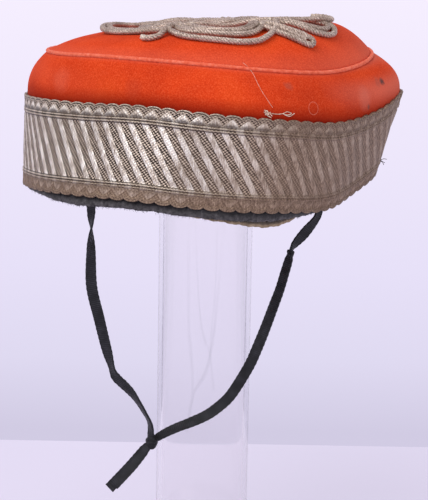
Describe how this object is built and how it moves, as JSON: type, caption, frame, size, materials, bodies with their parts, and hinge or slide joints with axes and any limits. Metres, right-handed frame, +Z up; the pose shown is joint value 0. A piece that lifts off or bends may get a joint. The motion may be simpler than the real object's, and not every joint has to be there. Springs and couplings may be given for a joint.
{
  "type": "pillbox cap on a tube stand",
  "caption": "Soft round cap with a woven lace band, a looped cord knot on its crown and a ribbon chin tie, resting on a plain clear tube stand.",
  "frame": {"origin": "middle of the stand foot's underside", "axes": "+Z up along the tube, -Y towards the cap's near side as pictured, +X towards its flared end"},
  "size_m": [0.1977, 0.1884, 0.303],
  "materials": {
    "wool": "fulled wool cloth, scarlet, matt",
    "piping": "wool covered cord",
    "metal_lace": "woven tarnished silver thread, satin stripes",
    "black_leather": "worn, frayed at its edge",
    "buff_leather": "worn, dull",
    "metal_cord": "twisted tarnished silver cord",
    "ribbon": "black woven ribbon, slightly glossy",
    "clear_acrylic": "clear polished acrylic"
  },
  "bodies": {
    "root": {"crown_side": "wool", "crown_top": "wool", "crown_piping": "piping", "lace_band": "metal_lace", "rim_binding": "black_leather", "sweatband": "buff_leather", "crown_knot": "metal_cord", "ribbon_left": "ribbon", "ribbon_right": "ribbon", "chin_knot": "ribbon", "ribbon_end_front": "ribbon", "ribbon_end_back": "ribbon", "stand_tube": "clear_acrylic", "stand_base": "clear_acrylic"}
  },
  "joints": []
}
